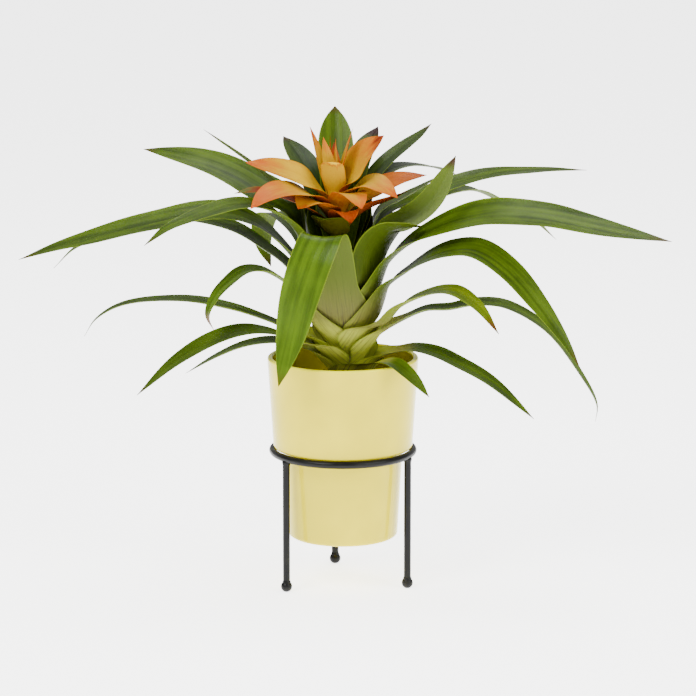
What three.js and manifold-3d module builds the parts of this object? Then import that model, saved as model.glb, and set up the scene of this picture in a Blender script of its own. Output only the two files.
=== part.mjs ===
// A potted bromeliad: a rosette of strap leaves round a star of bracts, rooted in a grow pot inside a
// stepped ceramic pot, which hangs by its shoulder in the ring of a three-legged rod stand.
// Millimetres, +Z up. The origin is on the floor, under the axis of the pot and the stand.
import * as THREE from "three";
import { mergeVertices } from "three/addons/utils/BufferGeometryUtils.js";
import Module from "manifold-3d";

// ---- Driving dimensions ----
const GAP = 0.3; // clearance kept between pieces that touch

const RING_RADIUS = 65.2; // centre line of the stand's ring, and of its legs
const RING_HEIGHT = 126.4;
const ROD_RADIUS = 3.5;
const LEG_RADIUS = 3.3;
const FOOT_RADIUS = 5.3;
const FOOT_FLAT = 1.6; // radius of the flat that each ball foot stands on
const LEG_TURNS = { right: -23.3, left: -143.3, back: 96.7 }; // degrees round +Z from +X

const RIM_RADIUS = 70;
const RIM_HEIGHT = 215;
const POT_WALL = 5;
const LIP_ROUND = 2;
const SHOULDER_RADIUS = 64.8; // foot of the wide upper part, which rests on the ring
const SHOULDER_ROUND = 3;
const STEP_RADIUS = 55.6; // head of the narrow lower part, which hangs through the ring
const BASE_RADIUS = 51;
const BASE_HEIGHT = 45;
const BASE_ROUND = 4;

const GROW_RIM_HEIGHT = 190;
const GROW_BASE_HEIGHT = 82;
const GROW_RIM_RADIUS = 59;
const GROW_BASE_RADIUS = 42;
const GROW_WALL = 1.2;
const SOIL_HEIGHT = 184;

const STEM_RADIUS = 11.6;
const STEM_TOP = 322;
const SCAPE_RADIUS = 5;
const SCAPE_TOP = 366;
const STEM_FOOT = 168;
// The plant's axis leans a little to -X as it rises.
const LEAN = { base: 4, slope: -0.07, from: RIM_HEIGHT };

const ROUND_STEPS = 56; // facets round the pot and the ring
const CORNER_STEPS = 3; // facets round a rounded corner
const GROW_STEPS = 44; // facets round the grow pot and the potting mix
const STEM_STEPS = 14;
const ROD_STEPS = 12;

// The leaves grow in turn up the stem, each with a sheath that clasps the ones inside it. Sheaths are parts of
// nested cones: each starts a little higher than the last, and stands a little steeper and taller.
const LEAF_FOOT = { reach: STEM_RADIUS + 1, first: 190, pitch: 3.2, growth: 0.04 };
const SHEATH_SPREAD = { outermost: 0.85, innermost: 0.42 }; // reach gained for each mm of height
const SHEATH_HEIGHT = { outermost: 22, innermost: 40 };
const SHEATH_HALF_WIDTH = { outermost: 36, innermost: 24 };
const BRACT_FOOT = { reach: SCAPE_RADIUS + 1, first: 326, pitch: 2.6 };

const LEAF_THICKNESS = 1.1;
const SHEATH_THICKNESS = 0.8;
const EDGE_THICKNESS = 0.5;
const LEAF_STATIONS = 12; // sections along a leaf
const LEAF_ACROSS = 7; // points across a section
const BRACT_STATIONS = 8;
const BRACT_ACROSS = 5;

// ---- The leaves, in the order they grow, from the outermost to the innermost ----
// turn: the leaf's direction, in degrees round +Z from +X; width: of the blade; keel: half the angle that a section
// of the blade bends through; roll: turns the blade about its own length; taper: higher keeps it broad for longer;
// path: the centre line past the collar, as [reach from the axis, height, swing from turn in degrees].
const LEAVES = [
  { turn: -52, width: 19, keel: 34, roll: 8,
    path: [[44, 216], [68, 219], [94, 210], [118, 196]] },
  { turn: -12, width: 25, keel: 32, roll: 16,
    path: [[46, 221], [64, 224], [84, 221], [104, 212], [134, 196], [172, 163]] },
  { turn: 165, width: 20, keel: 34, roll: -12,
    path: [[48, 224], [72, 225], [98, 220], [129, 207], [159, 190]] },
  { turn: 82, width: 26, keel: 34,
    path: [[56, 228], [82, 230], [102, 214], [112, 186]] },
  { turn: 200, width: 26, keel: 30, roll: -14,
    path: [[48, 231], [70, 241], [95, 245], [127, 239], [163, 223], [205, 193]] },
  { turn: 178, width: 22, keel: 36, roll: -6,
    path: [[50, 239], [76, 250], [104, 259], [150, 267], [205, 262], [231, 248], [243, 232]] },
  { turn: -8, width: 27, keel: 32, roll: 6,
    path: [[50, 248], [76, 260], [99, 262], [122, 267], [150, 266], [186, 245], [214, 207],
      [229, 176], [227, 160]] },
  { turn: 108, width: 28, keel: 34,
    path: [[52, 250], [78, 260], [102, 250], [114, 222]] },
  { turn: -38, width: 26, keel: 32, roll: 12,
    path: [[44, 250], [66, 269], [90, 281], [114, 289], [132, 290], [155, 279], [176, 257]] },
  { turn: 205, width: 26, keel: 28, roll: -6,
    path: [[44, 277], [60, 291], [78, 301], [96, 302], [113, 293], [127, 281], [136, 264], [131, 250]] },
  { turn: -28, width: 33, keel: 24, roll: 24,
    path: [[46, 283], [68, 300], [94, 316], [116, 324], [142, 326], [172, 310], [202, 279],
      [226, 246], [237, 227]] },
  { turn: -93, width: 38, keel: 16, taper: 3,
    path: [[42, 312, -4], [52, 333, -7], [66, 337, -9], [80, 322, -14], [90, 290, -21], [99, 248, -27],
      [112, 206, -31]] },
  { turn: 172, width: 31, keel: 32, roll: -8,
    path: [[50, 298], [72, 316], [96, 331], [130, 340], [160, 341], [212, 324], [248, 311], [271, 291]] },
  { turn: 90, width: 30, keel: 34,
    path: [[47, 303], [72, 315], [98, 311], [112, 284]] },
  { turn: -20, width: 43, keel: 26, roll: 27,
    path: [[46, 304], [64, 321], [90, 337], [120, 349], [155, 357], [198, 357], [236, 352],
      [276, 346], [317, 341]] },
  { turn: 125, width: 34, keel: 22, taper: 3,
    path: [[52, 316], [74, 330], [98, 336], [116, 332], [126, 318], [127, 300], [118, 282]] },
  { turn: 187, width: 36, keel: 28, roll: -22,
    path: [[44, 308], [58, 326], [75, 341], [98, 350], [128, 351], [172, 343], [222, 332], [262, 322],
      [295, 312]] },
  { turn: -32, width: 50, keel: 20, roll: -12, taper: 2.6,
    path: [[37, 314], [45, 328], [56, 338], [68, 341, 6], [82, 341, 14]] },
  { turn: 28, width: 32, keel: 28,
    path: [[46, 324], [73, 342], [106, 356], [144, 360], [170, 349], [203, 331], [232, 306]] },
  { turn: 207, width: 33, keel: 24, roll: -9,
    path: [[40, 332], [58, 351], [82, 362], [106, 364], [128, 360], [150, 354], [172, 347], [195, 334]] },
  { turn: -5, width: 30, keel: 12, roll: -50, taper: 2.6,
    path: [[44, 334], [62, 343], [78, 354, -2], [92, 369, -4], [104, 388, -6], [115, 406, -8]] },
  { turn: 158, width: 38, keel: 20, roll: -31,
    path: [[41, 349], [58, 361], [79, 370], [97, 379], [118, 387], [143, 393], [167, 396], [192, 398]] },
  { turn: 20, width: 32, keel: 28, roll: 8,
    path: [[48, 346], [78, 357], [107, 367], [138, 374], [173, 378], [212, 378], [252, 376]] },
  { turn: 171, width: 31, keel: 18, roll: 20,
    path: [[36, 360], [56, 375], [74, 391], [91, 404], [105, 414], [119, 424]] },
  { turn: 2, width: 34, keel: 26, taper: 2.6,
    path: [[40, 350], [60, 362], [78, 372], [94, 382]] },
  { turn: 42, width: 28, keel: 28,
    path: [[37, 361], [56, 377], [84, 384], [122, 380], [158, 367]] },
  { turn: 118, width: 30, keel: 30, taper: 2.6,
    path: [[36, 361], [52, 381], [74, 397], [99, 408]] },
  { turn: 47, width: 22, keel: 28, taper: 2.6,
    path: [[39, 366], [66, 386], [98, 401], [120, 410], [137, 418]] },
  { turn: 60, width: 26, keel: 28, taper: 2.6,
    path: [[34.5, 371], [47, 389], [64, 406], [86, 419]] },
  { turn: 86, width: 34, keel: 24, taper: 3,
    path: [[30, 379], [43, 407], [62, 440]] },
];

// ---- The bracts of the flower star, on the same terms, with the collar as the first point of the path ----
const BRACTS = [
  { turn: -110, width: 36, keel: 44, taper: 5,
    path: [[17, 336], [24, 344], [30, 348], [35, 349]] },
  { turn: -4, width: 25, keel: 36, roll: -15,
    path: [[12, 340], [21, 349], [33, 356], [48, 362], [66, 370]] },
  { turn: 208, width: 21, keel: 30, roll: -20,
    path: [[14, 343], [30, 356], [46, 365], [62, 371], [82, 376], [103, 375]] },
  { turn: -74, width: 28, keel: 34, taper: 2.6,
    path: [[12, 344], [24, 353], [36, 354], [46, 347]] },
  { turn: 2, width: 30, keel: 26, roll: 26,
    path: [[12, 350], [30, 367], [47, 376], [62, 381], [85, 384]] },
  { turn: -128, width: 36, keel: 30, roll: -14, taper: 2.4,
    path: [[13, 351], [26, 362], [40, 366], [56, 360]] },
  { turn: 222, width: 32, keel: 26, roll: -20, taper: 2.4,
    path: [[13, 356], [30, 369], [48, 375], [68, 377], [86, 373], [103, 364]] },
  { turn: -62, width: 32, keel: 30, taper: 2.6,
    path: [[12, 358], [24, 370], [38, 370], [50, 360]] },
  { turn: 194, width: 36, keel: 40, roll: -30, taper: 2.4,
    path: [[10.4, 363], [30, 381], [56, 392], [82, 399]] },
  { turn: -28, width: 36, keel: 28, roll: 14, taper: 2.6,
    path: [[10, 362], [24, 375], [38, 380], [51, 376], [64, 368]] },
  { turn: 0, width: 40, keel: 44, roll: 30, taper: 2.6,
    path: [[8.6, 367], [17, 383], [28, 402], [48, 421]] },
  { turn: 152, width: 17, keel: 36,
    path: [[8.6, 369], [13, 391], [17, 410], [22, 428]] },
  { turn: -94, width: 23, keel: 34, taper: 6,
    path: [[7.5, 371], [12, 385], [18, 395], [25, 400]] },
  { turn: 85, width: 13, keel: 30,
    path: [[7.2, 376], [11, 390], [15, 402], [20, 412]] },
  { turn: 6, width: 16, keel: 34,
    path: [[6.2, 379], [9, 394], [14, 410], [20, 427]] },
  { turn: 235, width: 16, keel: 40,
    path: [[6.2, 380], [8, 392], [10, 405], [13, 421]] },
];

const BUDS = [
  { name: "flower_bud_1", x: -3.6, y: 2.5, foot: 367.5, height: 53, radius: 2.4 },
  { name: "flower_bud_2", x: 1.5, y: 0, foot: 368, height: 50, radius: 3.6 },
];

const LOOKS = {
  glaze: { color: 0xf2da55, roughness: 0.25, metalness: 0 },
  rod: { color: 0x14140f, roughness: 0.45, metalness: 0.3 },
  grow: { color: 0x2a2a2a, roughness: 0.6, metalness: 0 },
  soil: { color: 0x3a2718, roughness: 0.95, metalness: 0 },
  stem: { color: 0xa8ab5e, roughness: 0.6, metalness: 0 },
  leaf: { color: 0x4f7f1d, roughness: 0.4, metalness: 0 },
  bract: { color: 0xe89a2a, roughness: 0.45, metalness: 0 },
  bud: { color: 0xf0b52c, roughness: 0.5, metalness: 0 },
};

const wasm = await Module();
wasm.setup();

const group = new THREE.Group();
group.name = "potted_bromeliad";

const numbered = (name, i) => `${name}_${String(i + 1).padStart(2, "0")}`;

function addPiece(name, geometry, kind) {
  const mesh = new THREE.Mesh(geometry, new THREE.MeshStandardMaterial(LOOKS[kind]));
  mesh.name = name;
  group.add(mesh);
  return mesh;
}

// ---- Joining and cutting ----
function solidOf(geometry) {
  const bare = geometry.clone();
  bare.deleteAttribute("normal");
  bare.deleteAttribute("uv");
  const merged = mergeVertices(bare, 1e-4);
  return new wasm.Manifold(new wasm.Mesh({
    numProp: 3,
    vertProperties: merged.attributes.position.array,
    triVerts: new Uint32Array(merged.index.array),
  }));
}

function geometryOf(solid) {
  const mesh = solid.getMesh();
  const geometry = new THREE.BufferGeometry();
  geometry.setAttribute("position", new THREE.BufferAttribute(new Float32Array(mesh.vertProperties), 3));
  geometry.setIndex(new THREE.BufferAttribute(mesh.triVerts, 1));
  return geometry;
}

// ---- Round pieces ----
const polar = (radius, degrees) => {
  const angle = THREE.MathUtils.degToRad(degrees);
  return [radius * Math.cos(angle), radius * Math.sin(angle)];
};

// Points of an arc in a profile, about (x, z), from one angle to another in degrees.
function arc(x, z, radius, from, to, steps = CORNER_STEPS) {
  const points = [];
  for (let i = 0; i <= steps; i++) {
    const [dx, dz] = polar(radius, from + ((to - from) * i) / steps);
    points.push([x + dx, z + dz]);
  }
  return points;
}

// Turns a profile of [radius, height] points about +Z.
function turned(profile, steps = ROUND_STEPS) {
  const points = profile.map(([r, z]) => new THREE.Vector2(r, z));
  return new THREE.LatheGeometry(points, steps).rotateX(Math.PI / 2);
}

function potGeometry() {
  const innerTop = RIM_RADIUS - POT_WALL;
  const stepHeight = RING_HEIGHT + Math.sqrt(
    (SHOULDER_ROUND + ROD_RADIUS + GAP) ** 2 - (RING_RADIUS - SHOULDER_RADIUS + SHOULDER_ROUND) ** 2,
  ) - SHOULDER_ROUND;
  const floorHeight = BASE_HEIGHT + POT_WALL + 1;
  return turned([
    [0, BASE_HEIGHT],
    ...arc(BASE_RADIUS - BASE_ROUND, BASE_HEIGHT + BASE_ROUND, BASE_ROUND, -90, 0),
    [STEP_RADIUS, stepHeight],
    ...arc(SHOULDER_RADIUS - SHOULDER_ROUND, stepHeight + SHOULDER_ROUND, SHOULDER_ROUND, -90, 0),
    ...arc(RIM_RADIUS - LIP_ROUND, RIM_HEIGHT - LIP_ROUND, LIP_ROUND, 0, 90),
    ...arc(innerTop + LIP_ROUND, RIM_HEIGHT - LIP_ROUND, LIP_ROUND, 90, 180),
    [SHOULDER_RADIUS - POT_WALL, stepHeight + POT_WALL + 2],
    [STEP_RADIUS - POT_WALL, stepHeight + POT_WALL],
    [BASE_RADIUS - POT_WALL, floorHeight],
    [0, floorHeight],
  ]);
}

function growPotGeometry() {
  const lip = 1.6;
  return turned([
    [0, GROW_BASE_HEIGHT],
    [GROW_BASE_RADIUS, GROW_BASE_HEIGHT],
    [GROW_RIM_RADIUS - 0.8, GROW_RIM_HEIGHT - 5],
    [GROW_RIM_RADIUS + lip, GROW_RIM_HEIGHT - 4],
    [GROW_RIM_RADIUS + lip, GROW_RIM_HEIGHT],
    [GROW_RIM_RADIUS - GROW_WALL, GROW_RIM_HEIGHT],
    [GROW_BASE_RADIUS - GROW_WALL, GROW_BASE_HEIGHT + GROW_WALL],
    [0, GROW_BASE_HEIGHT + GROW_WALL],
  ], GROW_STEPS);
}

// The potting mix fills the grow pot, and has a well that the stem's foot stands in.
function soilGeometry() {
  const taper = (GROW_RIM_RADIUS - GROW_BASE_RADIUS) / (GROW_RIM_HEIGHT - GROW_BASE_HEIGHT);
  const foot = GROW_BASE_HEIGHT + GROW_WALL + GAP;
  const fill = (z) => GROW_BASE_RADIUS - GROW_WALL - GAP * 2 + taper * (z - foot);
  const well = STEM_RADIUS + GAP * 2 + LEAN.base + 3;
  return turned([
    [0, foot],
    [fill(foot), foot],
    [fill(SOIL_HEIGHT - 3), SOIL_HEIGHT - 3],
    [fill(SOIL_HEIGHT) * 0.7, SOIL_HEIGHT],
    [well, SOIL_HEIGHT],
    [well, STEM_FOOT - GAP],
    [0, STEM_FOOT - GAP],
  ], GROW_STEPS);
}

function stemGeometry() {
  return turned([
    [0, STEM_FOOT],
    [STEM_RADIUS - 1, STEM_FOOT],
    [STEM_RADIUS, SOIL_HEIGHT],
    [STEM_RADIUS, STEM_TOP - 4],
    [SCAPE_RADIUS, STEM_TOP + 2],
    [SCAPE_RADIUS, SCAPE_TOP - 2],
    [SCAPE_RADIUS - 2, SCAPE_TOP],
    [0, SCAPE_TOP],
  ], STEM_STEPS);
}

// ---- Leaves and bracts ----
const ease = (t) => {
  const x = THREE.MathUtils.clamp(t, 0, 1);
  return x * x * (3 - 2 * x);
};

// Leans the plant: every height moves sideways by the same amount, so pieces that were apart stay apart.
function leaned(geometry) {
  const place = geometry.getAttribute("position");
  for (let i = 0; i < place.count; i++) {
    const shift = LEAN.base + LEAN.slope * (place.getZ(i) - LEAN.from);
    place.setX(i, place.getX(i) + shift);
  }
  return geometry;
}

// A leaf's centre line: straight up the sheath from its foot to the collar, then through its path.
function centreLine({ turn, foot, path }) {
  const place = ([reach, height, swing = 0]) => {
    const [x, y] = polar(reach, turn + swing);
    return new THREE.Vector3(x, y, height);
  };
  const start = place(foot);
  const collar = place(path[0]);
  const sheath = [0, 0.5, 0.9].map((share) => start.clone().lerp(collar, share));
  const curve = new THREE.CatmullRomCurve3([...sheath, ...path.map(place)], false, "centripetal");
  curve.arcLengthDivisions = 400;
  return { curve, sheathLength: start.distanceTo(collar) };
}

// Half the width of a leaf at a share of its length: a clasping sheath, a neck past the collar, and a blade that
// is widest a third of the way out and tapers to its tip.
function leafHalfWidth(share, collar, { width, taper = 2.2, sheath }) {
  const blade = width / 2;
  const neck = blade * 0.94;
  const foot = LEAF_FOOT.reach * 1.4;
  const broadest = collar * 0.8;
  const free = Math.min(collar * 2.4, collar + 0.12);
  const widest = free + (1 - free) * 0.3;
  if (share < broadest) return THREE.MathUtils.lerp(foot, sheath, ease(share / broadest));
  if (share < free) return THREE.MathUtils.lerp(sheath, neck, ease((share - broadest) / (free - broadest)));
  if (share < widest) return THREE.MathUtils.lerp(neck, blade, ease((share - free) / (widest - free)));
  return Math.max(blade * (1 - ((share - widest) / (1 - widest)) ** taper), 0.35);
}

function bractHalfWidth(share, collar, { width, taper = 1.9 }) {
  const blade = width / 2;
  const widest = 0.42;
  const foot = Math.min(blade * 0.5, BRACT_FOOT.reach);
  if (share < widest) return THREE.MathUtils.lerp(foot, blade, ease(share / widest));
  return Math.max(blade * (1 - ((share - widest) / (1 - widest)) ** taper), 0.3);
}

// A closed solid between two grids of points, of stations along and points across.
function sheetSolid(upper, lower) {
  const rows = upper.length;
  const columns = upper[0].length;
  const points = [...upper.flat(), ...lower.flat()];
  const top = (i, j) => i * columns + j;
  const under = (i, j) => rows * columns + top(i, j);
  const index = [];
  const quad = (a, b, c, d) => index.push(a, b, c, a, c, d);
  for (let i = 0; i < rows - 1; i++) {
    for (let j = 0; j < columns - 1; j++) {
      quad(top(i, j), top(i + 1, j), top(i + 1, j + 1), top(i, j + 1));
      quad(under(i, j), under(i, j + 1), under(i + 1, j + 1), under(i + 1, j));
    }
    quad(top(i, 0), under(i, 0), under(i + 1, 0), top(i + 1, 0));
    quad(top(i, columns - 1), top(i + 1, columns - 1), under(i + 1, columns - 1), under(i, columns - 1));
  }
  for (let j = 0; j < columns - 1; j++) {
    quad(top(0, j), top(0, j + 1), under(0, j + 1), under(0, j));
    quad(top(rows - 1, j), under(rows - 1, j), under(rows - 1, j + 1), top(rows - 1, j + 1));
  }
  const geometry = new THREE.BufferGeometry().setFromPoints(points);
  geometry.setIndex(index);
  return geometry;
}

// A blade swept along its centre line. In the sheath a section is level and bends round the stem; past the
// collar it squares up to the centre line and opens into a shallow channel.
function bladeGeometry(row, stations, points, halfWidth) {
  const { curve, sheathLength } = centreLine(row);
  const collar = sheathLength / curve.getLength();
  const keel = THREE.MathUtils.degToRad(row.keel);
  const roll = THREE.MathUtils.degToRad(row.roll ?? 0);
  const [sideX, sideY] = polar(1, row.turn + 90);
  const side = new THREE.Vector3(sideX, sideY, 0);
  const upper = [];
  const lower = [];
  for (let i = 0; i < stations; i++) {
    const share = (i / (stations - 1)) ** 1.15;
    const centre = curve.getPointAt(share);
    const along = curve.getTangentAt(share);
    const free = ease((share / collar - 0.7) / 1.5);
    const across = side.clone().addScaledVector(along, -side.dot(along)).normalize();
    const squared = new THREE.Vector3().crossVectors(along, across);
    const level = new THREE.Vector3(-centre.x, -centre.y, 0).normalize();
    const facing = level.lerp(squared, free).normalize();
    const turn = roll * ease((share - collar) / (0.5 - collar));
    across.applyAxisAngle(along, turn);
    facing.applyAxisAngle(along, turn);
    const half = halfWidth(share, collar, row);
    const stemReach = Math.hypot(centre.x, centre.y);
    const bend = THREE.MathUtils.lerp(half / stemReach, keel * (1 - 0.5 * share), free);
    const radius = half / bend;
    const topRow = [];
    const underRow = [];
    const body = THREE.MathUtils.lerp(SHEATH_THICKNESS, LEAF_THICKNESS, free);
    for (let j = 0; j < points; j++) {
      const u = (2 * j) / (points - 1) - 1;
      const angle = u * bend;
      const point = centre.clone()
        .addScaledVector(across, radius * Math.sin(angle))
        .addScaledVector(facing, radius * (1 - Math.cos(angle)));
      const normal = facing.clone()
        .multiplyScalar(Math.cos(angle))
        .addScaledVector(across, -Math.sin(angle));
      const thinning = Math.min(1, half / 6);
      const thickness = THREE.MathUtils.lerp(body, EDGE_THICKNESS, u * u) * Math.max(thinning, 0.3);
      topRow.push(point.clone().addScaledVector(normal, thickness / 2));
      underRow.push(point.addScaledVector(normal, -thickness / 2));
    }
    upper.push(topRow);
    lower.push(underRow);
  }
  return leaned(sheetSolid(upper, lower));
}

function budGeometry({ x, y, foot, height, radius }) {
  const profile = [
    [0, 0],
    [radius * 0.6, 0],
    [radius, height * 0.35],
    [radius * 0.8, height * 0.75],
    [0, height],
  ];
  return leaned(turned(profile, 8).translate(x, y, foot));
}

// ---- The stand ----
function addStand() {
  const ring = new THREE.TorusGeometry(RING_RADIUS, ROD_RADIUS, 10, ROUND_STEPS)
    .translate(0, 0, RING_HEIGHT);
  addPiece("stand_ring", ring, "rod");
  const ringClearance = new THREE.TorusGeometry(RING_RADIUS, ROD_RADIUS + GAP, 14, ROUND_STEPS * 2)
    .translate(0, 0, RING_HEIGHT);
  const footCentre = Math.sqrt(FOOT_RADIUS ** 2 - FOOT_FLAT ** 2);
  const footTop = footCentre + Math.sqrt(FOOT_RADIUS ** 2 - LEG_RADIUS ** 2);
  const flatAngle = THREE.MathUtils.radToDeg(Math.asin(FOOT_FLAT / FOOT_RADIUS));
  const topAngle = THREE.MathUtils.radToDeg(Math.acos(LEG_RADIUS / FOOT_RADIUS));
  for (const [side, turn] of Object.entries(LEG_TURNS)) {
    const [x, y] = polar(RING_RADIUS, turn);
    const legFoot = footTop + GAP;
    const length = RING_HEIGHT - legFoot;
    const rod = new THREE.CylinderGeometry(LEG_RADIUS, LEG_RADIUS, length, ROD_STEPS)
      .rotateX(Math.PI / 2)
      .translate(x, y, legFoot + length / 2);
    addPiece(`stand_leg_${side}`, geometryOf(solidOf(rod).subtract(solidOf(ringClearance))), "rod");
    const ball = turned([
      [0, 0],
      ...arc(0, footCentre, FOOT_RADIUS, flatAngle - 90, topAngle, 6),
      [0, footTop],
    ], STEM_STEPS).translate(x, y, 0);
    addPiece(`ball_foot_${side}`, ball, "rod");
  }
}

addStand();
addPiece("ceramic_pot", potGeometry(), "glaze");
addPiece("grow_pot", growPotGeometry(), "grow");
addPiece("potting_mix", soilGeometry(), "soil");
addPiece("stem", leaned(stemGeometry()), "stem");
LEAVES.forEach((leaf, i) => {
  const inward = i / (LEAVES.length - 1);
  const between = ({ outermost, innermost }) => THREE.MathUtils.lerp(outermost, innermost, inward);
  const height = LEAF_FOOT.first + LEAF_FOOT.pitch * i + LEAF_FOOT.growth * i * i;
  const rise = between(SHEATH_HEIGHT);
  const collar = [LEAF_FOOT.reach + between(SHEATH_SPREAD) * rise, height + rise];
  const row = {
    ...leaf,
    foot: [LEAF_FOOT.reach, height],
    path: [collar, ...leaf.path],
    sheath: between(SHEATH_HALF_WIDTH),
  };
  addPiece(numbered("leaf", i), bladeGeometry(row, LEAF_STATIONS, LEAF_ACROSS, leafHalfWidth), "leaf");
});
BRACTS.forEach((bract, i) => {
  const row = { ...bract, foot: [BRACT_FOOT.reach, BRACT_FOOT.first + BRACT_FOOT.pitch * i] };
  addPiece(numbered("bract", i), bladeGeometry(row, BRACT_STATIONS, BRACT_ACROSS, bractHalfWidth), "bract");
});
for (const bud of BUDS) {
  addPiece(bud.name, budGeometry(bud), "bud");
}

export default group;
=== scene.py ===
"""Looks for a potted bromeliad that stands in a black rod stand. Metres, in the frame of the CAD model."""

import math
import random
from functools import partial

import bpy
import numpy as np
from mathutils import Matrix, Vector, noise


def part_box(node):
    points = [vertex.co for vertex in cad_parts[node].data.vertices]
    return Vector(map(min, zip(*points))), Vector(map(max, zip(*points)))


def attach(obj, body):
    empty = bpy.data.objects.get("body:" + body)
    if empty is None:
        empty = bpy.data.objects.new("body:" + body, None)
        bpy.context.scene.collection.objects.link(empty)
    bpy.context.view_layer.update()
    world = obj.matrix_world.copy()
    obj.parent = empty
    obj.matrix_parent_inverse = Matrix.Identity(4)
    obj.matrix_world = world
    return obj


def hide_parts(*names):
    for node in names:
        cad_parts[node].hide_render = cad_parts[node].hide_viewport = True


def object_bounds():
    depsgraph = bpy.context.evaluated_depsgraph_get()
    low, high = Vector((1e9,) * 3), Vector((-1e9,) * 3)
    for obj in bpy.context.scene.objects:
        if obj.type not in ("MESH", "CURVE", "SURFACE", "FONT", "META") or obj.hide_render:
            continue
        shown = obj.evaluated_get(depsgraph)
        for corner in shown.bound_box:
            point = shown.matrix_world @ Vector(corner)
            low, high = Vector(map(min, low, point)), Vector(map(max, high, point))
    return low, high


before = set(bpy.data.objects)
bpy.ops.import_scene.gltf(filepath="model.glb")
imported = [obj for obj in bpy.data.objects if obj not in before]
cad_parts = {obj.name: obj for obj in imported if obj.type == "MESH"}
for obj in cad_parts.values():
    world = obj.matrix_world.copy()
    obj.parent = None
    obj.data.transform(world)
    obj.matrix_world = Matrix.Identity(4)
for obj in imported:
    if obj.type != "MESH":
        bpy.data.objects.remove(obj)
cad_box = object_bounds()
MM = 0.001  # the tables and the driving dimensions below are in millimetres, as in the CAD model

# ---- Driving dimensions, those of the CAD model ----
GAP = 0.3
RING_RADIUS = 65.2
RING_HEIGHT = 126.4
ROD_RADIUS = 3.5
LEG_RADIUS = 3.3
FOOT_RADIUS = 5.3
FOOT_FLAT = 1.6
LEG_TURNS = {"right": -23.3, "left": -143.3, "back": 96.7}

RIM_RADIUS = 70
RIM_HEIGHT = 215
POT_WALL = 5
LIP_ROUND = 2
SHOULDER_RADIUS = 64.8
SHOULDER_ROUND = 3
STEP_RADIUS = 55.6
BASE_RADIUS = 51
BASE_HEIGHT = 45
BASE_ROUND = 4

GROW_RIM_HEIGHT = 190
GROW_BASE_HEIGHT = 82
GROW_RIM_RADIUS = 59
GROW_BASE_RADIUS = 42
GROW_WALL = 1.2
SOIL_HEIGHT = 184

STEM_RADIUS = 11.6
SCAPE_RADIUS = 5
LEAN = {"base": 4, "slope": -0.07, "from": RIM_HEIGHT}

LEAF_FOOT = {"reach": STEM_RADIUS + 1, "first": 190, "pitch": 3.2, "growth": 0.04}
SHEATH_SPREAD = (0.85, 0.42)  # outermost leaf, innermost leaf
SHEATH_HEIGHT = (22, 40)
SHEATH_HALF_WIDTH = (36, 24)
BRACT_FOOT = {"reach": SCAPE_RADIUS + 1, "first": 326, "pitch": 2.6}
LEAF_THICKNESS = 1.1
SHEATH_THICKNESS = 0.8
EDGE_THICKNESS = 0.5

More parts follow.
